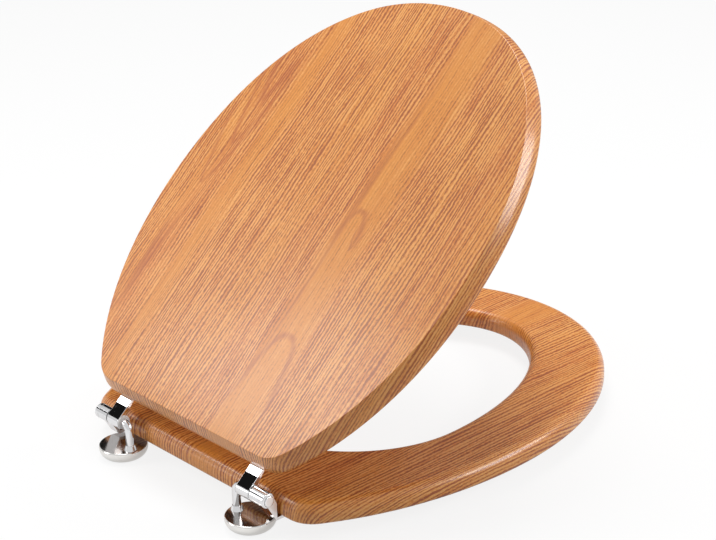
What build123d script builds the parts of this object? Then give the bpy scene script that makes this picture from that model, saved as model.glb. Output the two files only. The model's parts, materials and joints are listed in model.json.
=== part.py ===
"""Toilet seat: an oak-effect lid and seat ring on two chrome hinges, with the lid standing part open.

Lengths are in millimetres and angles in degrees. The origin is on the bowl's rim, midway between the two
bolt holes. +X is to the right seen from behind, +Y runs to the front of the seat and +Z is up.
Each piece on the right is drawn in full, and the one on the left is its mirror image.
"""

import os
from math import acos, asin, atan2, copysign, cos, degrees, hypot, radians, sin, sqrt

from build123d import *

os.makedirs("parts", exist_ok=True)

# Seat ring: outline, section and the hole in it
ring_width = 378.0
ring_length = 432.0
ring_thick = 17.6
ring_widest = 190.0  # from the rear edge to the widest line
ring_rear_width = 267.0  # of the straight rear edge, before its corners are rounded
ring_corner_r = 26.0
ring_fullness = 2.05  # power of the front curve: 2 is an ellipse, more is fuller
ring_outer_r = 10.0
ring_inner_r = 8.0
ring_under_r = 3.5
hole_width = 248.0
hole_front = 195.0  # from the hole's widest line forwards
hole_rear = 117.0  # and backwards
hole_centre = 174.0  # from the ring's rear edge to the hole's widest line

# Lid: outline, section and how far it stands open
lid_width = 370.0
lid_length = 429.0
lid_thick = 17.8
lid_widest = 196.0
lid_rear_width = 222.0
lid_corner_r = 34.0
lid_fullness = 2.15
lid_open = 41.7
crease_inset = 5.0  # the flat top ends in a crease this far in from the lid's edge
crease_drop = 11.0  # and its sloping side ends this far below the top
crease_r = 0.7
belly_r = 14.0
lid_under_r = 2.5

# Base discs that bolt to the bowl, and the pads under them
disc_spacing = 168.0
disc_r = 20.9
disc_base_r = 17.2
disc_top = 9.8
disc_rim = 1.4  # height of the upright rim, which is then rounded over
disc_bulge = 1.1  # how far the disc's side swells past its straight slope
pad_r = 15.5
pad_thick = 1.2
pad_stand = 0.3  # how far the pad stands out below the disc
boss_r = 5.0  # round the bolt hole, and down through the pad
pad_play = 0.2  # between that boss and the pad
bolt_hole_r = 3.4  # tapping size of an M8 thread
bolt_hole_top = 8.0

# Hinge posts: a rod that rises from the disc and turns outwards to be the pin
rod_r = 3.5
elbow_r = 6.0
post_offset = 13.4  # from the disc's centre towards the seat's middle
post_lean = 0.3  # how far the foot stands ahead of the pin
collar_r = 5.4
collar_top_r = 3.9
collar_height = 4.2
spigot_r = 3.0
spigot_depth = 4.0
rod_chamfer = 0.6

# Where the pin runs, and what it carries
pin_behind = 2.6  # pin axis behind the line of the discs
pin_above_ring = 1.0  # pin axis above the ring's top face
lid_gap = 7.0  # between the closed lid and the ring
lid_setback = 19.0  # from the pin axis to the lid's rear edge
ring_setback = 11.9  # from the pin axis to the ring's rear edge
bush_wall = 1.2
running_fit = 0.06  # radial gap between a pin and its bush
end_play = 0.35  # gap along the pin between pieces that turn apart

# Lid straps
knuckle_r = 6.4
lid_flange_r = 5.9  # flange of the bush between strap and post
lid_flange_thick = 0.8
strap_width = 15.0
strap_thick = 2.2
strap_reach = 38.0  # of the plate under the lid, from the lid's rear edge
strap_edge_r = 0.35

# Seat brackets
barrel_r = 6.4
barrel_length = 17.0
barrel_edge_r = 1.5
groove_from_end = 5.5  # a turned groove round the barrel
groove_width = 0.5
groove_depth = 0.4
web_width = 12.0
web_front = 2.7  # gap between the web's front face and the ring's rear edge
plate_thick = 2.5
plate_reach = 40.0  # of the plate under the ring, from the ring's rear edge
plate_clear = 2.0  # between the plate and the top of the disc
plate_screw_lead = 4.0  # the screws stand this far ahead of the plate's middle
flange_r = 5.6
flange_thick = 0.6
cap_r = 4.5
cap_thick = 1.0
cap_plug = 2.5

# Screws
screw_r = 2.0
screw_head_r = 3.6
screw_length = 12.0
screw_spacing = 18.0
slot_width = 0.9
slot_length = 3.6
slot_depth = 1.0

# Rubber buffers
seat_buffer_r = 11.0
seat_buffer_foot_r = 9.0
seat_buffer_bore_r = 4.6
seat_buffer_floor = 4.0  # rubber left under the screw's head
seat_buffer_front = (75.0, 372.0)  # across, and ahead of the ring's rear edge
seat_buffer_back = (136.0, 104.0)
buffer_screw_bite = 9.0
lid_buffer_r = 7.5
lid_buffer_spot = (72.0, 375.0)  # across, and ahead of the lid's rear edge
lid_buffer_play = 0.3  # between a closed lid's buffers and the ring
nail_r = 1.2
nail_head_r = 2.6
nail_head = 1.0
nail_bite = 9.0

# Heights and places that follow from the sizes above
ring_lift = disc_top + plate_clear + plate_thick
ring_top = ring_lift + ring_thick
pin_y = -pin_behind
pin_z = ring_top + pin_above_ring
ring_rear_y = pin_y + ring_setback
lid_lift = lid_gap - pin_above_ring
disc_x = disc_spacing / 2
post_x = disc_x - post_offset
foot_y = pin_y + post_lean
lid_flange_in = post_x + elbow_r + end_play
strap_in = lid_flange_in + lid_flange_thick
strap_out = strap_in + strap_width
flange_in = strap_out + end_play
barrel_in = flange_in + flange_thick
barrel_out = barrel_in + barrel_length
pin_end = barrel_out - cap_plug - end_play
bush_in_r = rod_r + running_fit
bush_out_r = bush_in_r + bush_wall
screw_head = screw_head_r - screw_r  # a 90 degree countersink
strap_mid = (strap_in + strap_out) / 2
web_in = barrel_out - barrel_edge_r - web_width
web_mid = web_in + web_width / 2
plate_bottom = ring_lift - plate_thick
disc_bottom = pad_stand
disc_edge_r = 0.9 * disc_rim
recess_top = pad_thick
pad_hole_r = boss_r + pad_play
rod_start = collar_height / 3  # the rod begins inside its collar
cap_edge_r = 0.8 * cap_thick

on_base = (Align.CENTER, Align.CENTER, Align.MIN)
from_top = (Align.CENTER, Align.CENTER, Align.MAX)

# Working planes: each has its own outward direction as local Z
lid_turn = radians(lid_open)
lid_up = Vector(0, -sin(lid_turn), cos(lid_turn))
pin_line = Plane(origin=(0, pin_y, pin_z), x_dir=(1, 0, 0), z_dir=lid_up)
lid_corner = pin_line.from_local_coords((0, lid_setback, lid_lift))
lid_under = Plane(origin=lid_corner, x_dir=(1, 0, 0), z_dir=lid_up)
lid_axis = Axis(lid_under.origin, lid_up)
strap_under = lid_under.offset(-strap_thick)
strap_screw_face = Plane(origin=strap_under.origin, x_dir=(1, 0, 0), z_dir=-lid_up)
strap_side = Plane(origin=(strap_in, pin_y, pin_z), x_dir=pin_line.y_dir, z_dir=(1, 0, 0))
ring_under = Plane(origin=(0, ring_rear_y, ring_lift), x_dir=(1, 0, 0), z_dir=(0, 0, 1))
ring_axis = Axis(ring_under.origin, (0, 0, 1))
barrel_side = Plane(origin=(barrel_in, 0, 0), x_dir=(0, 1, 0), z_dir=(1, 0, 0))
groove_side = barrel_side.offset(barrel_length - groove_from_end)
web_side = barrel_side.offset(web_in - barrel_in)
plate_screw_face = Plane(origin=(0, ring_rear_y, plate_bottom), x_dir=(1, 0, 0), z_dir=(0, 0, -1))
across = (1, 0, 0)


def front_curve(width, length, widest, fullness, steps=4):
    """Points of the rounded front, from its widest point on the right round to the one on the left."""
    power = 2 / fullness
    points = []
    for step in range(2 * steps + 1):
        turn = radians(90 * step / steps)
        side = copysign(abs(cos(turn)) ** power, cos(turn))
        ahead = abs(sin(turn)) ** power
        points.append((side * width / 2, widest + ahead * (length - widest)))
    return points


def rear_ellipse(width, rear_width, widest):
    """Half-length of the rear ellipse, and the angle on it where it meets the straight rear edge."""
    reach = widest / sqrt(1 - (rear_width / width) ** 2)
    return reach, degrees(asin(widest / reach))


# Lid
lid_reach, lid_cut = rear_ellipse(lid_width, lid_rear_width, lid_widest)
lid_middle = (0, lid_widest)
lid_half = lid_width / 2
strap_screw_near = (strap_reach - screw_spacing) / 2
strap_screws = [(strap_mid, strap_screw_near), (strap_mid, strap_screw_near + screw_spacing)]
lid_screw_spots = strap_screws + [(-x, v) for x, v in strap_screws]
lid_buffer_spots = [lid_buffer_spot, (-lid_buffer_spot[0], lid_buffer_spot[1])]

with BuildPart() as lid:
    with BuildSketch(lid_under) as lid_outline:
        with BuildLine():
            lid_front = front_curve(lid_width, lid_length, lid_widest, lid_fullness)
            Spline(*lid_front, tangents=[(0, 1), (0, -1)], tangent_scalars=[1, 1])
            EllipticalCenterArc(lid_middle, lid_half, lid_reach, start_angle=-lid_cut, arc_size=lid_cut)
            EllipticalCenterArc(lid_middle, lid_half, lid_reach, start_angle=180, arc_size=lid_cut)
            Line((-lid_rear_width / 2, 0), (lid_rear_width / 2, 0))
        make_face()
        fillet(lid_outline.vertices().sort_by(Axis.Y)[:2], radius=lid_corner_r)
    extrude(amount=lid_thick)
    lid_top = lid.faces().sort_by(lid_axis)[-1]
    chamfer(lid_top.edges(), length=crease_inset, length2=crease_drop, reference=lid_top)
    fillet(lid.faces().sort_by(lid_axis)[-1].edges(), radius=crease_r)
    belly = lid_thick - crease_drop
    fillet(lid.edges().filter_by_position(lid_axis, belly - 0.01, belly + 0.01), radius=belly_r)
    fillet(lid.faces().sort_by(lid_axis)[0].edges(), radius=lid_under_r)
    with BuildSketch(lid_under):
        with Locations(*lid_screw_spots):
            Circle(screw_r)
    extrude(amount=screw_length - strap_thick, mode=Mode.SUBTRACT)
    with BuildSketch(lid_under):
        with Locations(*lid_buffer_spots):
            Circle(nail_r)
    extrude(amount=nail_bite, mode=Mode.SUBTRACT)
lid.part.label = "lid"
export_step(lid.part, "parts/lid.step")

# Seat ring
ring_reach, ring_cut = rear_ellipse(ring_width, ring_rear_width, ring_widest)
ring_middle = (0, ring_widest)
ring_half = ring_width / 2
plate_screw_near = (plate_reach - screw_spacing) / 2 + plate_screw_lead
plate_screws = [(web_mid, plate_screw_near), (web_mid, plate_screw_near + screw_spacing)]
ring_screw_spots = plate_screws + [(-x, y) for x, y in plate_screws]
seat_buffer_spots = [(side * x, y) for x, y in (seat_buffer_front, seat_buffer_back) for side in (1, -1)]

with BuildPart() as seat_ring:
    with BuildSketch(ring_under) as ring_outline:
        with BuildLine():
            ring_front = front_curve(ring_width, ring_length, ring_widest, ring_fullness)
            Spline(*ring_front, tangents=[(0, 1), (0, -1)], tangent_scalars=[1, 1])
            EllipticalCenterArc(ring_middle, ring_half, ring_reach, start_angle=-ring_cut, arc_size=ring_cut)
            EllipticalCenterArc(ring_middle, ring_half, ring_reach, start_angle=180, arc_size=ring_cut)
            Line((-ring_rear_width / 2, 0), (ring_rear_width / 2, 0))
        make_face()
        fillet(ring_outline.vertices().sort_by(Axis.Y)[:2], radius=ring_corner_r)
        with BuildLine():
            EllipticalCenterArc((0, hole_centre), hole_width / 2, hole_front, start_angle=0, arc_size=180)
            EllipticalCenterArc((0, hole_centre), hole_width / 2, hole_rear, start_angle=180, arc_size=180)
        make_face(mode=Mode.SUBTRACT)
    extrude(amount=ring_thick)
    ring_face = seat_ring.faces().sort_by(ring_axis)[-1]
    fillet(ring_face.outer_wire().edges(), radius=ring_outer_r)
    fillet(seat_ring.faces().sort_by(ring_axis)[-1].inner_wires()[0].edges(), radius=ring_inner_r)
    fillet(seat_ring.faces().sort_by(ring_axis)[0].edges(), radius=ring_under_r)
    with BuildSketch(ring_under):
        with Locations(*ring_screw_spots):
            Circle(screw_r)
    extrude(amount=screw_length - plate_thick, mode=Mode.SUBTRACT)
    with BuildSketch(ring_under):
        with Locations(*seat_buffer_spots):
            Circle(screw_r)
    extrude(amount=buffer_screw_bite, mode=Mode.SUBTRACT)
seat_ring.part.label = "seat_ring"
export_step(seat_ring.part, "parts/seat_ring.step")

# Base discs: a flat polished top, a rounded rim and a side that tapers in towards the bowl
with BuildPart() as base_disc_right:
    with BuildSketch(Plane.XZ.move(Location((disc_x, 0, 0)))):
        with BuildLine():
            rim = (disc_r, disc_top - disc_rim)
            foot = (disc_base_r, disc_bottom)
            swell = ((rim[0] + foot[0]) / 2 + disc_bulge, (rim[1] + foot[1]) / 2 - disc_bulge / 2)
            Line((0, disc_top), (0, disc_bottom))
            Line((0, disc_bottom), foot)
            ThreePointArc(foot, swell, rim)
            Line(rim, (disc_r, disc_top))
            Line((disc_r, disc_top), (0, disc_top))
        make_face()
    revolve(axis=Axis((disc_x, 0, 0), (0, 0, 1)))
    fillet(base_disc_right.faces().sort_by(Axis.Z)[-1].edges(), radius=disc_edge_r)
    with Locations((disc_x, 0, disc_bottom)):
        Cylinder(pad_r, recess_top - disc_bottom, align=on_base, mode=Mode.SUBTRACT)
    with Locations((disc_x, 0, 0)):
        Cylinder(boss_r, recess_top, align=on_base)
        Cylinder(bolt_hole_r, bolt_hole_top, align=on_base, mode=Mode.SUBTRACT)
    with Locations((post_x, foot_y, disc_top)):
        Hole(spigot_r, depth=spigot_depth)
base_disc_right.part.label = "base_disc_right"
export_step(base_disc_right.part, "parts/base_disc_right.step")

with BuildPart() as base_disc_left:
    mirror(base_disc_right.part, about=Plane.YZ)
base_disc_left.part.label = "base_disc_left"
export_step(base_disc_left.part, "parts/base_disc_left.step")

# Rubber pads set into the undersides of the discs
with BuildPart() as base_pad_right:
    with Locations((disc_x, 0, 0)):
        Cylinder(pad_r, pad_thick, align=on_base)
    with Locations((disc_x, 0, pad_thick)):
        Hole(pad_hole_r)
base_pad_right.part.label = "base_pad_right"
export_step(base_pad_right.part, "parts/base_pad_right.step")

with BuildPart() as base_pad_left:
    mirror(base_pad_right.part, about=Plane.YZ)
base_pad_left.part.label = "base_pad_left"
export_step(base_pad_left.part, "parts/base_pad_left.step")

# Hinge posts: the rod is one bent piece, with a turned collar and a spigot that goes into the disc
post_rise = hypot(pin_z - disc_top, post_lean)
post_up = Vector(0, -post_lean, pin_z - disc_top).normalized()
post_face = Plane(origin=(post_x, foot_y, disc_top), x_dir=across, z_dir=Vector(across).cross(post_up))

with BuildPart() as hinge_post_right:
    with BuildLine(post_face) as rod_path:
        FilletPolyline((0, rod_start), (0, post_rise), (pin_end - post_x, post_rise), radius=elbow_r)
    with BuildSketch(Plane(origin=rod_path.line @ 0, z_dir=rod_path.line % 0)):
        Circle(rod_r)
    sweep()
    chamfer(hinge_post_right.faces().sort_by(Axis.X)[-1].edges(), length=rod_chamfer)
    with Locations((post_x, foot_y, disc_top)):
        Cone(collar_r, collar_top_r, collar_height, align=on_base)
        Cylinder(spigot_r, spigot_depth, align=from_top)
hinge_post_right.part.label = "hinge_post_right"
export_step(hinge_post_right.part, "parts/hinge_post_right.step")

with BuildPart() as hinge_post_left:
    mirror(hinge_post_right.part, about=Plane.YZ)
hinge_post_left.part.label = "hinge_post_left"
export_step(hinge_post_left.part, "parts/hinge_post_left.step")

# Lid straps: a plate under the lid whose end rolls into a knuckle round the pin
strap_slope = atan2(lid_lift, lid_setback) + acos(knuckle_r / hypot(lid_lift, lid_setback))
knuckle_top = (knuckle_r * cos(strap_slope), knuckle_r * sin(strap_slope))

with BuildPart() as lid_strap_right:
    with BuildSketch(strap_side):
        Circle(knuckle_r)
        with BuildLine():
            Polyline(
                (0, 0),
                knuckle_top,
                (lid_setback, lid_lift),
                (lid_setback + strap_reach, lid_lift),
                (lid_setback + strap_reach, lid_lift - strap_thick),
                (lid_setback, lid_lift - strap_thick),
                close=True,
            )
        make_face()
        Circle(bush_out_r, mode=Mode.SUBTRACT)
    extrude(amount=strap_width)
    strap_ends = lid_strap_right.faces().filter_by(Axis.X)
    fillet([edge for face in strap_ends for edge in face.outer_wire().edges()], radius=strap_edge_r)
    with Locations(*[strap_screw_face.location * Pos(x, -v) for x, v in strap_screws]):
        CounterSinkHole(screw_r, screw_head_r, counter_sink_angle=90)
lid_strap_right.part.label = "lid_strap_right"
export_step(lid_strap_right.part, "parts/lid_strap_right.step")

with BuildPart() as lid_strap_left:
    mirror(lid_strap_right.part, about=Plane.YZ)
lid_strap_left.part.label = "lid_strap_left"
export_step(lid_strap_left.part, "parts/lid_strap_left.step")

# Countersunk screws that hold the straps to the lid
with BuildPart(strap_under) as lid_strap_screws:
    with Locations(*lid_screw_spots):
        Cone(screw_head_r, screw_r, screw_head, align=on_base)
        Cylinder(screw_r, screw_length, align=on_base)
        Box(slot_width, slot_length, slot_depth, align=on_base, mode=Mode.SUBTRACT)
        Box(slot_length, slot_width, slot_depth, align=on_base, mode=Mode.SUBTRACT)
lid_strap_screws.part.label = "lid_strap_screws"
export_step(lid_strap_screws.part, "parts/lid_strap_screws.step")

# Nylon bushes in the strap knuckles, with a flange towards the post
with BuildPart(Plane(origin=(lid_flange_in, pin_y, pin_z), z_dir=across)) as lid_bush_right:
    lid_bush_length = lid_flange_thick + strap_width
    Cylinder(bush_out_r, lid_bush_length, align=on_base)
    Cylinder(lid_flange_r, lid_flange_thick, align=on_base)
    Cylinder(bush_in_r, lid_bush_length, align=on_base, mode=Mode.SUBTRACT)
lid_bush_right.part.label = "lid_bush_right"
export_step(lid_bush_right.part, "parts/lid_bush_right.step")

with BuildPart() as lid_bush_left:
    mirror(lid_bush_right.part, about=Plane.YZ)
lid_bush_left.part.label = "lid_bush_left"
export_step(lid_bush_left.part, "parts/lid_bush_left.step")

# Seat brackets: a barrel round the pin, a web down behind the ring and a plate under it
web_face_y = ring_rear_y - web_front
plate_end_y = ring_rear_y + plate_reach

with BuildPart() as seat_bracket_right:
    with BuildSketch(barrel_side):
        with Locations((pin_y, pin_z)):
            Circle(barrel_r)
    extrude(amount=barrel_length)
    fillet(seat_bracket_right.faces().sort_by(Axis.X)[-1].edges(), radius=barrel_edge_r)
    with BuildSketch(groove_side):
        with Locations((pin_y, pin_z)):
            Circle(barrel_r)
            Circle(barrel_r - groove_depth, mode=Mode.SUBTRACT)
    extrude(amount=groove_width, mode=Mode.SUBTRACT)
    with BuildSketch(web_side) as web:
        with BuildLine():
            Polyline(
                (pin_y, pin_z),
                (pin_y, pin_z - barrel_r),
                (web_face_y - plate_thick / 3, plate_bottom),
                (plate_end_y, plate_bottom),
                (plate_end_y, ring_lift),
                (web_face_y, ring_lift),
                (web_face_y, pin_z - barrel_r),
                (pin_y + barrel_r, pin_z),
                close=True,
            )
        make_face()
    extrude(amount=web_width)
    with Locations(Plane(origin=(barrel_out, pin_y, pin_z), z_dir=across)):
        Hole(bush_out_r)
        Hole(cap_r, depth=cap_plug)
    with Locations(*[plate_screw_face.location * Pos(x, -y) for x, y in plate_screws]):
        CounterSinkHole(screw_r, screw_head_r, depth=plate_thick, counter_sink_angle=90)
seat_bracket_right.part.label = "seat_bracket_right"
export_step(seat_bracket_right.part, "parts/seat_bracket_right.step")

with BuildPart() as seat_bracket_left:
    mirror(seat_bracket_right.part, about=Plane.YZ)
seat_bracket_left.part.label = "seat_bracket_left"
export_step(seat_bracket_left.part, "parts/seat_bracket_left.step")

# Countersunk screws that hold the brackets to the ring
with BuildPart(Plane(origin=(0, ring_rear_y, plate_bottom))) as seat_bracket_screws:
    with Locations(*ring_screw_spots):
        Cone(screw_head_r, screw_r, screw_head, align=on_base)
        Cylinder(screw_r, screw_length, align=on_base)
        Box(slot_width, slot_length, slot_depth, align=on_base, mode=Mode.SUBTRACT)
        Box(slot_length, slot_width, slot_depth, align=on_base, mode=Mode.SUBTRACT)
seat_bracket_screws.part.label = "seat_bracket_screws"
export_step(seat_bracket_screws.part, "parts/seat_bracket_screws.step")

# Nylon bushes in the brackets, with a flange that keeps strap and barrel apart
with BuildPart(Plane(origin=(flange_in, pin_y, pin_z), z_dir=across)) as seat_bush_right:
    bush_length = barrel_out - cap_plug - flange_in
    Cylinder(bush_out_r, bush_length, align=on_base)
    Cylinder(flange_r, flange_thick, align=on_base)
    Cylinder(bush_in_r, bush_length, align=on_base, mode=Mode.SUBTRACT)
seat_bush_right.part.label = "seat_bush_right"
export_step(seat_bush_right.part, "parts/seat_bush_right.step")

with BuildPart() as seat_bush_left:
    mirror(seat_bush_right.part, about=Plane.YZ)
seat_bush_left.part.label = "seat_bush_left"
export_step(seat_bush_left.part, "parts/seat_bush_left.step")

# Caps that close the outer ends of the barrels
with BuildPart(Plane(origin=(barrel_out, pin_y, pin_z), z_dir=across)) as barrel_cap_right:
    Cylinder(cap_r, cap_plug, align=from_top)
    Cylinder(cap_r, cap_thick, align=on_base)
    fillet(barrel_cap_right.faces().sort_by(Axis.X)[-1].edges(), radius=cap_edge_r)
barrel_cap_right.part.label = "barrel_cap_right"
export_step(barrel_cap_right.part, "parts/barrel_cap_right.step")

with BuildPart() as barrel_cap_left:
    mirror(barrel_cap_right.part, about=Plane.YZ)
barrel_cap_left.part.label = "barrel_cap_left"
export_step(barrel_cap_left.part, "parts/barrel_cap_left.step")

# Buffers under the ring that rest on the bowl, each with a screw sunk into it
with BuildPart(Plane(origin=(0, ring_rear_y, 0))) as seat_buffers:
    with Locations(*seat_buffer_spots):
        Cone(seat_buffer_foot_r, seat_buffer_r, ring_lift, align=on_base)
        Cylinder(seat_buffer_bore_r, ring_lift - seat_buffer_floor, align=on_base, mode=Mode.SUBTRACT)
        Cylinder(screw_r, ring_lift, align=on_base, mode=Mode.SUBTRACT)
seat_buffers.part.label = "seat_buffers"
export_step(seat_buffers.part, "parts/seat_buffers.step")

with BuildPart(Plane(origin=(0, ring_rear_y, ring_lift - seat_buffer_floor))) as seat_buffer_screws:
    with Locations(*seat_buffer_spots):
        Cylinder(screw_head_r, screw_head, align=from_top)
        Cylinder(screw_r, seat_buffer_floor + buffer_screw_bite, align=on_base)
    with Locations(*[(x, y, -screw_head) for x, y in seat_buffer_spots]):
        Box(slot_width, slot_length, slot_depth, align=on_base, mode=Mode.SUBTRACT)
        Box(slot_length, slot_width, slot_depth, align=on_base, mode=Mode.SUBTRACT)
seat_buffer_screws.part.label = "seat_buffer_screws"
export_step(seat_buffer_screws.part, "parts/seat_buffer_screws.step")

# Buffers under the lid that rest on the ring when it closes, each held by a nail
lid_buffer_height = lid_gap - lid_buffer_play
nail_sink = lid_buffer_height / 2

with BuildPart(lid_under) as lid_buffers:
    with Locations(*lid_buffer_spots):
        Cylinder(lid_buffer_r, lid_buffer_height, align=from_top)
        Cylinder(nail_r, lid_buffer_height, align=from_top, mode=Mode.SUBTRACT)
    with Locations(*[(x, v, -nail_sink) for x, v in lid_buffer_spots]):
        Cylinder(nail_head_r, lid_buffer_height - nail_sink, align=from_top, mode=Mode.SUBTRACT)
lid_buffers.part.label = "lid_buffers"
export_step(lid_buffers.part, "parts/lid_buffers.step")

with BuildPart(lid_under.offset(-nail_sink)) as lid_buffer_nails:
    with Locations(*lid_buffer_spots):
        Cylinder(nail_head_r, nail_head, align=from_top)
        Cylinder(nail_r, nail_sink + nail_bite, align=on_base)
lid_buffer_nails.part.label = "lid_buffer_nails"
export_step(lid_buffer_nails.part, "parts/lid_buffer_nails.step")
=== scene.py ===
# %% [markdown]
# # A toilet seat in oak-effect foil on chrome hinges
# The seat is a moulded board lid and a moulded board ring, both wrapped in a printed oak foil under a satin
# lacquer. They turn on two chrome hinges that stand on polished discs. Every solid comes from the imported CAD
# model in one shared frame: metres, +Y to the front of the seat, +Z up, and the origin on the bowl's rim
# between the two bolts. This script gives the solids their finishes, a studio and a camera.

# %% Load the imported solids
import json
from math import radians

import bpy
from mathutils import Matrix, Vector


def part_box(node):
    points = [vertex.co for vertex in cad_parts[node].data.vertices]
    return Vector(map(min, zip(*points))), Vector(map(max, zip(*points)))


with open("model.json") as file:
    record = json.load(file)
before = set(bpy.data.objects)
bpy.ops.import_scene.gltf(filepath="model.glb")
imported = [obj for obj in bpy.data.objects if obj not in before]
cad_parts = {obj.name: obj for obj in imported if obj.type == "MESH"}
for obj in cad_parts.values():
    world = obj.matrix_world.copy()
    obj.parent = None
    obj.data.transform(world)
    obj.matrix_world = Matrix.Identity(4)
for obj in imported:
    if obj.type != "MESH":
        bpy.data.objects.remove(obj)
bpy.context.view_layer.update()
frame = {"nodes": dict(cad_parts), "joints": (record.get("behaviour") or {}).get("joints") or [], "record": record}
nodes = frame["nodes"]

# %% [markdown]
# ## Camera
# The picture looks at the seat from behind and to its right, from about half a metre above it. The camera's
# place was found by fitting the outlines of the lid, the ring and the discs, so it is written here as plain
# numbers: an azimuth, an elevation, a slight roll and a long lens. A tracking constraint would also aim the
# camera, but the views move it freely, so a fixed place and turn is simpler.

# %% Camera behind and to the right
azimuth, elevation, roll = radians(47.227), radians(22.596), radians(-1.095)
camera_place = (1.06307, -0.78505, 0.73757)
sensor_mm, lens_mm = 36.0, 91.42
level_turn = Matrix.Rotation(azimuth, 3, "Z") @ Matrix.Rotation(radians(90) - elevation, 3, "X")
camera = bpy.data.objects.new("camera", bpy.data.cameras.new("camera"))
camera.data.sensor_width = sensor_mm
camera.data.lens = lens_mm
camera.location = camera_place
camera.rotation_euler = (level_turn @ Matrix.Rotation(roll, 3, "Z")).to_euler()
bpy.context.collection.objects.link(camera)
bpy.context.scene.camera = camera
print("camera at", [round(c, 3) for c in camera.location], "lens", round(camera.data.lens, 2), "mm")

# %% [markdown]
# ## Building shaders by hand
# A shader is a graph of nodes. A few small helpers keep the cells short. The first places a node and fills its
# inputs, each from a number or from another node's output. The others place the nodes that come up most, and
# start or use a node group, which is a graph that several materials can share.


# %% Helpers for node trees
def place(tree, kind, inputs=None, **settings):
    """Adds a node, sets its properties, then fills each input from a value or from another node's output."""
    made = tree.nodes.new(kind)
    for name, value in settings.items():
        setattr(made, name, value)
    for key, value in (inputs or {}).items():
        if isinstance(value, bpy.types.NodeSocket):
            tree.links.new(value, made.inputs[key])
        else:
            made.inputs[key].default_value = value
    return made


def math(tree, operation, a, b=0.0, c=0.0):
    """One Math node: returns its output."""
    return place(tree, "ShaderNodeMath", {0: a, 1: b, 2: c}, operation=operation).outputs[0]


def smooth(tree, value, low, high, start=0.0, end=1.0):
    """Goes smoothly from start to end while value goes from low to high."""
    inputs = {"Value": value, "From Min": low, "From Max": high, "To Min": start, "To Max": end}
    return place(tree, "ShaderNodeMapRange", inputs, interpolation_type="SMOOTHSTEP").outputs["Result"]


def stretch(tree, vector, scale):
    """Multiplies a vector by three factors, to stretch a pattern along an axis."""
    return place(tree, "ShaderNodeVectorMath", {0: vector, 1: scale}, operation="MULTIPLY").outputs[0]


def new_group(name, inputs, outputs):
    """Starts a shader node group and returns its tree, its input sockets and its output sockets."""
    tree = bpy.data.node_groups.new(name, "ShaderNodeTree")
    for label, kind in inputs:
        tree.interface.new_socket(label, in_out="INPUT", socket_type="NodeSocket" + kind)
    for label, kind in outputs:
        tree.interface.new_socket(label, in_out="OUTPUT", socket_type="NodeSocket" + kind)
    return tree, tree.nodes.new("NodeGroupInput").outputs, tree.nodes.new("NodeGroupOutput").inputs


def use_group(tree, group, inputs):
    """Places a node group in a tree, fills its inputs and returns its outputs."""
    return place(tree, "ShaderNodeGroup", inputs, node_tree=group).outputs


print("helpers ready")

# %% [markdown]
# ## How the foil lies on the board
# A foil is pressed over the board in one sheet: flat on top, then drawn down over the edges. So the print on
# an edge is the print that would lie just outside the outline. The group below finds that place: it takes a
# point of the board and its outward direction, and moves the point outwards by its depth under the top face.
# The flat underside has a sheet of its own, so there the shift fades out.

# %% Foil laid over a board
# How steep a face is, as the level part of its normal: flat below the first value, an edge above the second.
flat_slope, edge_slope = 0.1, 0.4
laid, given, put = new_group(
    "foil_laid_over", [("Point", "Vector"), ("Normal", "Vector"), ("Top", "Float")], [("Plan", "Vector")]
)
sideways = stretch(laid, given["Normal"], (1.0, 1.0, 0.0))
outwards = place(laid, "ShaderNodeVectorMath", {0: sideways}, operation="NORMALIZE").outputs[0]
height = place(laid, "ShaderNodeSeparateXYZ", {0: given["Point"]}).outputs["Z"]
depth = math(laid, "MAXIMUM", math(laid, "SUBTRACT", given["Top"], height), 0.0)
slope = place(laid, "ShaderNodeVectorMath", {0: sideways}, operation="LENGTH").outputs["Value"]
shift = math(laid, "MULTIPLY", depth, smooth(laid, slope, flat_slope, edge_slope))
moved = place(laid, "ShaderNodeVectorMath", {0: outwards, "Scale": shift}, operation="SCALE").outputs[0]
plan = place(laid, "ShaderNodeVectorMath", {0: given["Point"], 1: moved}, operation="ADD").outputs[0]
laid.links.new(stretch(laid, plan, (1.0, 1.0, 0.0)), put["Plan"])
print("group:", laid.name, len(laid.nodes), "nodes")

# %% [markdown]
# ## One arch of the figure
# A flat-sawn oak board shows arches where the saw cuts a growth ring lengthways. Each arch is one soft dark
# stroke along a curve that rises with a power of the distance from its middle. The group measures the
# distance to that curve, so a stroke keeps its width on the steep legs, and fades out at the end of its reach.

# %% Arch stroke
fade_from = 0.45  # share of the reach after which a stroke fades
arch_inputs = ["Across", "Along", "Apex across", "Apex along", "Half width", "Rise", "Power", "Line", "Reach"]
arch, given, put = new_group("oak_arch", [(label, "Float") for label in arch_inputs], [("Mask", "Float")])
aside = math(arch, "ABSOLUTE", math(arch, "SUBTRACT", given["Across"], given["Apex across"]))
share = math(arch, "MAXIMUM", math(arch, "DIVIDE", aside, given["Half width"]), 0.001)
lift = math(arch, "MULTIPLY", given["Rise"], math(arch, "POWER", share, given["Power"]))
from_apex = math(arch, "SUBTRACT", given["Along"], given["Apex along"])
run = math(arch, "MULTIPLY", share, given["Half width"])
steep = math(arch, "DIVIDE", math(arch, "MULTIPLY", lift, given["Power"]), run)
length = math(arch, "SQRT", math(arch, "MULTIPLY_ADD", steep, steep, 1.0))
away = math(arch, "DIVIDE", math(arch, "ABSOLUTE", math(arch, "SUBTRACT", from_apex, lift)), length)
stroke = smooth(arch, math(arch, "DIVIDE", away, given["Line"]), 0.0, 1.0, 1.0, 0.0)
reached = math(arch, "DIVIDE", math(arch, "ABSOLUTE", from_apex), given["Reach"])
fade = smooth(arch, reached, fade_from, 1.0, 1.0, 0.0)
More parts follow.
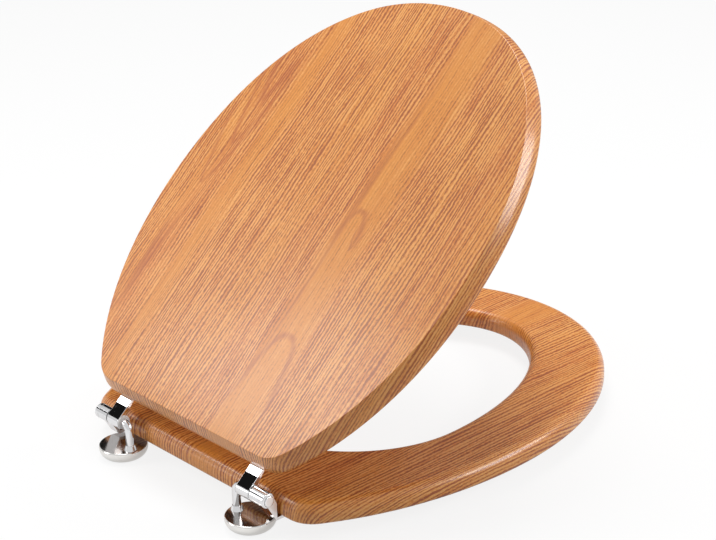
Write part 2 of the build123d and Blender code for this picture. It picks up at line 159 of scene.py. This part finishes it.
arch.links.new(math(arch, "MULTIPLY", stroke, fade), put["Mask"])
print("group:", arch.name, len(arch.nodes), "nodes")

# %% [markdown]
# ## The oak print
# The print has four layers: broad bands of tone across the board, fine growth lines about three millimetres
# apart, the arches, and short pores. Bands come from a colour ramp read across the board, so each band can be
# put where it belongs. Growth lines are a sine wave of the distance across, bent by noise that is stretched
# along the board, because a repeated wave alone would look like a ruled sheet. All distances are millimetres.

# %% Tones across the board
# Each stop is the distance across in mm, how pale the band is, and how strong its growth lines are.
print_half_width = 240.0
bands = [
    (-190, 0.45, 0.8), (-161, 0.55, 0.8), (-152, 0.80, 0.5), (-141, 0.38, 0.5), (-130, 0.32, 0.6),
    (-118, 0.45, 0.8), (-108, 0.84, 0.3), (-98, 0.80, 0.5), (-88, 0.52, 0.9), (-60, 0.45, 1.0),
    (-36, 0.50, 1.0), (-26, 0.74, 0.8), (-8, 0.70, 0.8), (1, 0.30, 0.9), (12, 0.25, 0.7), (20, 0.42, 0.8),
    (27, 0.24, 0.9), (33, 0.60, 0.5), (40, 0.86, 0.30), (60, 0.86, 0.38), (70, 0.70, 0.5), (76, 0.36, 0.9),
    (84, 0.42, 0.9), (92, 0.60, 1.0), (118, 0.62, 1.0), (130, 0.50, 0.9), (142, 0.30, 0.8), (152, 0.40, 0.8),
    (164, 0.66, 0.7), (185, 0.55, 0.8), (205, 0.35, 0.9), (225, 0.60, 0.9),
]

# Each arch: across, along, half width, rise at that half width, power, line width, reach.
arches = [
    (-137, 242, 16, 66, 1.5, 3.4, 120), (-142, 198, 18, 70, 1.5, 3.2, 110), (-143, 100, 5, 60, 1.3, 5.5, 75),
    (-147, 60, 12, 80, 1.4, 3.0, 60), (-136, 292, 12, 60, 1.6, 6.5, 60), (47, 222, 8, -9, 2.6, 4.6, 40),
    (58, 188, 5, 16, 1.3, 2.0, 26), (53, 102, 17, -32, 2.6, 4.6, 90), (37.5, 150, 2.4, 150, 1.2, 2.6, 260),
]
print("bands:", len(bands), "arches:", len(arches))


# %% Noise that runs along the board
def grain(tree, vector, across_mm, along_mm, detail=2.0, roughness=0.5):
    """Noise about one half, with that many features in a millimetre across and along the board."""
    inputs = {"Vector": stretch(tree, vector, (across_mm, along_mm, 0.0)), "Scale": 1.0}
    inputs |= {"Detail": detail, "Roughness": roughness}
    return place(tree, "ShaderNodeTexNoise", inputs, noise_dimensions="3D").outputs[0]


def vary(tree, base, pattern, amount):
    """Adds to base a pattern that varies about one half, times an amount."""
    return math(tree, "MULTIPLY_ADD", math(tree, "SUBTRACT", pattern, 0.5), amount, base)


# How noise bends the growth lines: push sideways in mm, features in a mm across and along, detail.
bends = [(16.0, 0.012, 0.0042, 1.0), (3.0, 0.075, 0.011, 2.0), (1.5, 0.22, 0.09, 1.0)]
print("bends:", len(bends))

# %% Oak print: bands of tone
cloud_share = 0.55
print_outputs = [(label, "Float") for label in ("Tone", "Lines", "Arches", "Pores")]
oak, given, put = new_group("oak_print", [("Plan", "Vector")], print_outputs)
plan_mm = stretch(oak, given["Plan"], (1000.0, 1000.0, 0.0))
split = place(oak, "ShaderNodeSeparateXYZ", {0: plan_mm}).outputs
across, along = split["X"], split["Y"]
for push, across_mm, along_mm, detail in bends:
    across = vary(oak, across, grain(oak, plan_mm, across_mm, along_mm, detail), push)

on_ramp = math(oak, "MULTIPLY_ADD", across, 0.5 / print_half_width, 0.5)
ramp = place(oak, "ShaderNodeValToRGB", {"Fac": on_ramp})
stops = ramp.color_ramp.elements
stops[0].position = 0.5 + bands[0][0] / (2 * print_half_width)
stops[1].position = 0.5 + bands[-1][0] / (2 * print_half_width)
for band in bands[1:-1]:
    stops.new(0.5 + band[0] / (2 * print_half_width))
for stop, (_, pale, strong) in zip(stops, bands):
    stop.color = (pale, strong, 0.0, 1.0)
band_values = place(oak, "ShaderNodeSeparateColor", {0: ramp.outputs["Color"]}).outputs
clouds = grain(oak, plan_mm, 0.05, 0.006, 3.0)
oak.links.new(vary(oak, band_values["Red"], clouds, cloud_share), put["Tone"])
print("ramp stops:", len(stops))

# %% Oak print: growth lines
line_turn, beat_turn = 1.95, 20.0  # radians of the wave for each mm across, and shifted by slow noise
wave_share, streak_share, fleck_share = 1.75, 10.3, 7.0
bent = place(oak, "ShaderNodeCombineXYZ", {"X": across, "Y": along}).outputs[0]
beat = grain(oak, bent, 0.05, 0.0016, 1.0)
phase = math(oak, "MULTIPLY_ADD", beat, beat_turn, math(oak, "MULTIPLY", across, line_turn))
wave = math(oak, "MULTIPLY", math(oak, "SINE", phase), wave_share)
streaks = grain(oak, bent, 0.30, 0.014, 4.0, 0.66)
flecks = grain(oak, bent, 0.9, 0.30, 2.0, 0.6)
line = vary(oak, vary(oak, wave, streaks, streak_share), flecks, fleck_share)
oak.links.new(math(oak, "MULTIPLY", line, band_values["Green"]), put["Lines"])
print("lines every", round(2 * radians(180) / line_turn, 1), "mm")

# %% Oak print: arches and pores
arch_sum = 0.0
for arch_numbers in arches:
    inputs = dict(zip(arch_inputs, [across, along, *arch_numbers]))
    arch_sum = math(oak, "MAXIMUM", arch_sum, use_group(oak, arch, inputs)["Mask"])
arch_break = smooth(oak, streaks, 0.25, 0.6, 0.35, 1.0)
oak.links.new(math(oak, "MULTIPLY", arch_sum, arch_break), put["Arches"])
pores = grain(oak, plan_mm, 1.5, 0.42, 2.0, 0.65)
oak.links.new(smooth(oak, pores, 0.5, 0.75), put["Pores"])
print("group:", oak.name, len(oak.nodes), "nodes")

# %% [markdown]
# ## Oak-effect foil
# Lid and ring carry the same print, cut from different places of the roll, so one function makes both
# materials. Object coordinates are turned into each board's own frame by a Mapping node: the lid stands open,
# so its frame is tilted about the hinge. The lacquer is a satin coat: the Principled shader's own gloss plus
# a thin clear coat.

# %% Board frames
lid_open = radians(41.7)
pin = Vector(frame["joints"][1]["pos_m"])
lid_setback, lid_lift, lid_thick = 0.0190, 0.0060, 0.0178
lid_rear = pin + Matrix.Rotation(lid_open, 3, "X") @ Vector((0.0, lid_setback, lid_lift))
ring_low, ring_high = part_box("seat_ring")
ring_rear = Vector((0.0, ring_low.y, ring_low.z))
ring_thick = ring_high.z - ring_low.z
print("lid's rear edge at", [round(1000 * c, 1) for c in lid_rear], "mm")
print("ring's top at", round(1000 * ring_high.z, 1), "mm")


# %% Helpers for materials
def new_material(name):
    """A material with an empty Principled shader: returns the material, its tree and the shader node."""
    material = bpy.data.materials.new(name)
    material.use_nodes = True
    return material, material.node_tree, material.node_tree.nodes["Principled BSDF"]


def mix(tree, factor, first, second):
    """Mixes two colours by a factor: each colour is three numbers or another node's output."""
    first, second = [c if isinstance(c, bpy.types.NodeSocket) else (*c, 1.0) for c in (first, second)]
    made = place(tree, "ShaderNodeMix", {"Factor": factor, 6: first, 7: second}, data_type="RGBA")
    return made.outputs[2]


def bump(tree, shader, height, strength, distance):
    """Gives the shader a relief whose height is a pattern."""
    made = place(tree, "ShaderNodeBump", {"Height": height, "Strength": strength, "Distance": distance})
    tree.links.new(made.outputs[0], shader.inputs["Normal"])


print("material helpers ready")

# %% Foil material
foil_pale, foil_red, foil_light = (0.75, 0.285, 0.040), (0.62, 0.182, 0.030), (0.90, 0.455, 0.135)
foil_dark, foil_arch = (0.31, 0.058, 0.003), (0.45, 0.100, 0.014)
dark_share, light_share, pore_share = 0.9, 0.8, 0.30
satin, satin_lines, satin_pores = 0.37, 0.015, 0.10
coat_weight, coat_roughness = 0.4, 0.2


def oak_foil(name, origin, tilt, top, cut, arch_share):
    """Foil on a board whose rear edge is at origin, tilted about X. cut is the place on the roll."""
    material, tree, shader = new_material(name)
    coordinates = place(tree, "ShaderNodeTexCoord").outputs
    inputs = {"Vector": coordinates["Object"], "Location": origin, "Rotation": (tilt, 0.0, 0.0)}
    point = place(tree, "ShaderNodeMapping", inputs, vector_type="TEXTURE").outputs[0]
    inputs = {"Vector": coordinates["Normal"], "Rotation": (-tilt, 0.0, 0.0)}
    normal = place(tree, "ShaderNodeMapping", inputs, vector_type="VECTOR").outputs[0]
    laid_out = use_group(tree, laid, {"Point": point, "Normal": normal, "Top": top})
    on_roll = place(tree, "ShaderNodeVectorMath", {0: laid_out["Plan"], 1: cut}, operation="ADD")
    figure = use_group(tree, oak, {"Plan": on_roll.outputs[0]})

    colour = mix(tree, figure["Tone"], foil_red, foil_pale)
    colour = mix(tree, smooth(tree, figure["Lines"], 0.15, 1.7, 0.0, dark_share), colour, foil_dark)
    colour = mix(tree, smooth(tree, figure["Lines"], 0.0, -1.7, 0.0, light_share), colour, foil_light)
    colour = mix(tree, math(tree, "MULTIPLY", figure["Arches"], arch_share), colour, foil_arch)
    colour = mix(tree, math(tree, "MULTIPLY", figure["Pores"], pore_share), colour, foil_dark)
    tree.links.new(colour, shader.inputs["Base Color"])
    on_lines = math(tree, "MULTIPLY_ADD", figure["Lines"], satin_lines, satin)
    roughness = math(tree, "MULTIPLY_ADD", figure["Pores"], satin_pores, on_lines)
    tree.links.new(roughness, shader.inputs["Roughness"])
    relief = math(tree, "MULTIPLY_ADD", figure["Pores"], -0.5, math(tree, "MULTIPLY", figure["Lines"], -0.5))
    bump(tree, shader, relief, 0.12, 0.00012)
    shader.inputs["Coat Weight"].default_value = coat_weight
    shader.inputs["Coat Roughness"].default_value = coat_roughness
    return material


foil_lid = oak_foil("oak_foil_lid", lid_rear, lid_open, lid_thick, (0.0, 0.0, 0.0), 0.7)
foil_ring = oak_foil("oak_foil_ring", ring_rear, 0.0, ring_thick, (0.040, -0.200, 0.0), 0.25)
print("foils:", foil_lid.name, foil_ring.name)

# %% [markdown]
# ## Chrome, rubber, nylon and plated steel
# Chrome is a full mirror with the faintest haze. The discs are a warmer metal with bright rims; their flat tops
# are duller and painted darker, a painted reflection of the dark things they face. The seat brackets are
# polished on the barrel and satin on their sawn sides, which are painted near white, a painted reflection of the
# white floor. The screws are zinc plated, a greyer metal with a soft bloom. Rubber and nylon
# are dull, with a fine mottle in colour and roughness. Two small groups serve all of these: one is a mottle,
# the other finds the faces that look along an axis. An image could hold the same, but a pattern needs no file.

# %% Groups for mottle and for faces
mottle_inputs = [("Point", "Vector"), ("Patches", "Float"), ("Detail", "Float"), ("Crumb", "Float")]
mottled, given, put = new_group("surface_mottle", mottle_inputs, [("Mottle", "Float")])
inputs = {"Vector": given["Point"], "Scale": given["Patches"], "Detail": given["Detail"]}
inputs |= {"Roughness": given["Crumb"]}
patchy = place(mottled, "ShaderNodeTexNoise", inputs, noise_dimensions="3D").outputs[0]
mottled.links.new(patchy, put["Mottle"])

facing, given, put = new_group("faces_along", [("Normal", "Vector"), ("Axis", "Vector")], [("Mask", "Float")])
inputs = {0: given["Normal"], 1: given["Axis"]}
along_axis = place(facing, "ShaderNodeVectorMath", inputs, operation="DOT_PRODUCT").outputs["Value"]
facing.links.new(smooth(facing, math(facing, "ABSOLUTE", along_axis), 0.90, 0.99), put["Mask"])
print("groups:", mottled.name, facing.name)


# %% Metal and rubber materials
def mottle(tree, point, patches, detail, crumb=0.5):
    """Mottle about one half, in patches 1 / patches metres wide."""
    inputs = {"Point": point, "Patches": patches, "Detail": detail, "Crumb": crumb}
    return use_group(tree, mottled, inputs)["Mottle"]


def metal(name, colour, bright, dull, patches, relief=0.0, faces=None):
    """A metal whose roughness drifts from bright to dull in patches.

    faces is an axis, how much duller the faces are that look along it, and a colour painted on them: a painted
    reflection, darker or lighter than the metal around them.
    """
    material, tree, shader = new_material(name)
    coordinates = place(tree, "ShaderNodeTexCoord").outputs
    haze = mottle(tree, coordinates["Object"], patches, 3.0)
    roughness = smooth(tree, haze, 0.58, 0.85, bright, dull)
    shade = mix(tree, smooth(tree, haze, 0.3, 0.8, 0.0, 0.25), colour, [c * 0.8 for c in colour])
    if faces:
        axis, dulling, painted_face_colour = faces
        mask = use_group(tree, facing, {"Normal": coordinates["Normal"], "Axis": axis})["Mask"]
        roughness = math(tree, "MULTIPLY_ADD", mask, dulling, roughness)
        # Painted reflection: the faces along the axis take a colour of their own, darker or lighter.
        shade = mix(tree, mask, shade, painted_face_colour)
    if relief:
        bump(tree, shader, mottle(tree, coordinates["Object"], patches * 9, 2.0), relief, 0.00005)
    tree.links.new(roughness, shader.inputs["Roughness"])
    tree.links.new(shade, shader.inputs["Base Color"])
    shader.inputs["Metallic"].default_value = 1.0
    return material


def dull_polymer(name, colour, patches):
    """Rubber or nylon: a dark or pale body with a fine mottle and a soft surface."""
    material, tree, shader = new_material(name)
    fine = mottle(tree, place(tree, "ShaderNodeTexCoord").outputs["Object"], patches, 4.0, 0.6)
    darker, paler = [c * 0.8 for c in colour], [min(1.0, c * 1.25) for c in colour]
    tree.links.new(mix(tree, smooth(tree, fine, 0.3, 0.7), darker, paler), shader.inputs["Base Color"])
    tree.links.new(smooth(tree, fine, 0.3, 0.7, 0.62, 0.5), shader.inputs["Roughness"])
    bump(tree, shader, fine, 0.25, 0.0001)
    return material


finishes = {
    "chrome": metal("polished_chrome", (0.77, 0.77, 0.78), 0.0, 0.09, 60.0),
    "screw_steel": metal("plated_screw_steel", (0.62, 0.61, 0.58), 0.24, 0.42, 400.0, relief=0.15),
    "black_rubber": dull_polymer("pad_rubber", (0.022, 0.022, 0.023), 900.0),
    "buffer_rubber": dull_polymer("buffer_rubber", (0.56, 0.54, 0.49), 700.0),
    "dark_nylon": dull_polymer("bush_nylon", (0.024, 0.024, 0.027), 1200.0),
    "white_nylon": dull_polymer("flange_nylon", (0.80, 0.79, 0.78), 1200.0),
}
# The flat tops of the discs are duller, and painted darker: a painted reflection of the dark things they face.
disc_tops_dulled_painted_dark = ((0.0, 0.0, 1.0), 0.09, (0.50, 0.48, 0.465))
disc_metal = metal("polished_disc", (0.80, 0.785, 0.76), 0.05, 0.13, 60.0, faces=disc_tops_dulled_painted_dark)
# The faces of the brackets and barrel caps that look along the hinge axis are satin, and painted near white: a
# painted reflection of the white floor.
satin_sides_painted_white = ((1.0, 0.0, 0.0), 0.36, (0.97, 0.97, 0.97))
bracket_metal = metal("bracket_chrome", (0.74, 0.74, 0.75), 0.12, 0.16, 60.0, faces=satin_sides_painted_white)
print("finishes:", sorted(finishes), disc_metal.name, bracket_metal.name)

# %% [markdown]
# ## Giving the finishes out
# The record names a finish for each piece. Most pieces take it as it is. The two boards, the discs and the
# brackets with their caps have a version of their own. Each CAD piece already has one material slot, so
# filling that slot dresses it and its mesh stays untouched.

# %% Give every solid its finish
slot_of = {part["node"]: part["material_slot"] for part in frame["record"]["subparts"]}
own_finish = {"lid": foil_lid, "seat_ring": foil_ring}
for side in ("right", "left"):
    own_finish["base_disc_" + side] = disc_metal
    own_finish["seat_bracket_" + side] = own_finish["barrel_cap_" + side] = bracket_metal
for name, piece in nodes.items():
    piece.material_slots[0].material = own_finish.get(name) or finishes[slot_of[name]]
print("dressed:", len(nodes), "of them with a finish of their own:", len(own_finish))

# %% [markdown]
# ## Studio floor
# The seat stands on a plain white floor that runs back without a corner. It glows a little where the camera
# and mirrors look at it, so it is white there and keeps the seat's shadow. A white floor also throws light up
# at the seat, which would wash out its undersides, so the floor is darker for light that bounces off it.


# %% Floor
def seen_share(tree, straight, mirrored):
    """A share for rays that look at the studio straight, another for mirrored rays, 0 for soft light."""
    ray = place(tree, "ShaderNodeLightPath").outputs
    bounced = math(tree, "MAXIMUM", ray["Is Glossy Ray"], ray["Is Transmission Ray"])
    return math(tree, "MULTIPLY_ADD", ray["Is Camera Ray"], straight, math(tree, "MULTIPLY", bounced, mirrored))


floor_white, floor_bounce = (0.9, 0.9, 0.9), (0.45, 0.45, 0.45)
bpy.ops.mesh.primitive_plane_add(size=30.0, location=(0.0, 0.0, -0.0004))
floor = bpy.context.object
floor.name = "studio_floor"
material, tree, shader = new_material("studio_white")
soft_light = place(tree, "ShaderNodeLightPath").outputs["Is Diffuse Ray"]
tree.links.new(mix(tree, soft_light, floor_white, floor_bounce), shader.inputs["Base Color"])
shader.inputs["Roughness"].default_value = 0.9
shader.inputs["Specular IOR Level"].default_value = 0.0
glow = place(tree, "ShaderNodeEmission", {"Color": (1.0, 1.0, 1.0, 1.0), "Strength": 1.0}).outputs[0]
inputs = {0: seen_share(tree, 0.85, 0.5), 1: shader.outputs[0], 2: glow}
part_glow = place(tree, "ShaderNodeMixShader", inputs).outputs[0]
tree.links.new(part_glow, tree.nodes["Material Output"].inputs["Surface"])
floor.data.materials.append(material)
print("floor:", floor.name)

# %% [markdown]
# ## World and soft boxes
# The world is white where the camera and mirrors look at it, and softer as a light. Four soft boxes light the
# seat: a big one above, a small one at the left whose reflection pales the back of the lid, a wide one at the
# front right that shines along the rounded edge, and a weak one behind that fills the shaded sides. A sky or
# an image of a studio could light it too, but boxes can be put where a highlight is wanted.

# %% World
soft_strength = 0.30
world = bpy.data.worlds.new("studio")
bpy.context.scene.world = world
world.use_nodes = True
tree = world.node_tree
background = tree.nodes["Background"]
tree.links.new(math(tree, "ADD", seen_share(tree, 0.70, 0.50), soft_strength), background.inputs["Strength"])
background.inputs["Color"].default_value = (1.0, 1.0, 1.0, 1.0)
print("world:", world.name)


# %% Soft boxes
def soft_box(name, place_m, aim, size, power):
    """An area lamp of that width and height that faces aim."""
    lamp = bpy.data.objects.new(name, bpy.data.lights.new(name, "AREA"))
    lamp.data.shape = "RECTANGLE"
    lamp.data.size, lamp.data.size_y = size
    lamp.data.energy = power
    lamp.location = place_m
    lamp.rotation_euler = (Vector(place_m) - Vector(aim)).to_track_quat("Z", "Y").to_euler()
    bpy.context.collection.objects.link(lamp)
    return lamp


lamps = [
    soft_box("top_box", (-0.6, 0.55, 2.4), (0.0, 0.2, 0.2), (1.2, 1.2), 37.5),
    soft_box("sheen_box", (-0.72, -0.51, 0.83), (0.10, 0.02, 0.06), (0.42, 0.42), 3.5),
    soft_box("side_box", (1.18, 1.14, 0.87), (0.165, 0.22, 0.26), (0.9, 0.4), 12.5),
    soft_box("back_box", (-1.0, -1.5, 0.5), (0.0, 0.1, 0.1), (0.6, 0.6), 5.0),
]
bpy.context.scene.view_settings.view_transform = "Standard"
print("lamps:", [lamp.name for lamp in lamps])

# %% [markdown]
# ## Cards for the reflections
# Polished metal only looks like metal when it has something dark to show. A photographer hangs cards beside
# the set for that. The cards below are seen by mirrors alone: they cast no shadow and are out of sight. A
# small black one hangs in front of the sheen box, and its upper edge makes the line across the lid's straps.
# A second black one stands low in front of the seat, to its left, where the flat tops of the discs look. A
# large grey one stands behind that, and dims the sheen on the top of the ring.


# %% Cards that only mirrors see
def card_paint(name, grey):
    """A flat grey that looks the same under any light: it only glows."""
    material, tree, shader = new_material(name)
    shader.inputs["Base Color"].default_value = (0.0, 0.0, 0.0, 1.0)
    shader.inputs["Specular IOR Level"].default_value = 0.0
    shader.inputs["Emission Color"].default_value = (grey, grey, grey, 1.0)
    shader.inputs["Emission Strength"].default_value = 1.0
    return material


def mirror_card(name, corners, paint):
    """A flat card with four corners that only reflections see."""
    mesh = bpy.data.meshes.new(name)
    mesh.from_pydata(corners, [], [(0, 1, 2, 3)])
    mesh.materials.append(paint)
    card = bpy.data.objects.new(name, mesh)
    bpy.context.collection.objects.link(card)
    card.visible_camera = card.visible_diffuse = card.visible_shadow = card.visible_transmission = False
    return card


def upright(left, right, low, high):
    """The corners of an upright card between two places on the floor, from one height to another."""
    return [(*left, low), (*right, low), (*right, high), (*left, high)]


studio_black, studio_grey = card_paint("studio_black", 0.01), card_paint("studio_grey", 0.30)
strap_corners = [
    (-0.30, -0.353, 0.607), (-1.00, -0.270, 0.476), (-1.00, -0.409, 0.350), (-0.30, -0.531, 0.446),
]
cards = [
    mirror_card("strap_card", strap_corners, studio_black),
    mirror_card("front_card", upright((-1.92, 0.39), (-0.42, 1.99), 0.10, 1.25), studio_grey),
    mirror_card("disc_card", upright((-0.576, 0.117), (-0.240, 0.477), 0.03, 0.375), studio_black),
]
print("cards:", [card.name for card in cards])
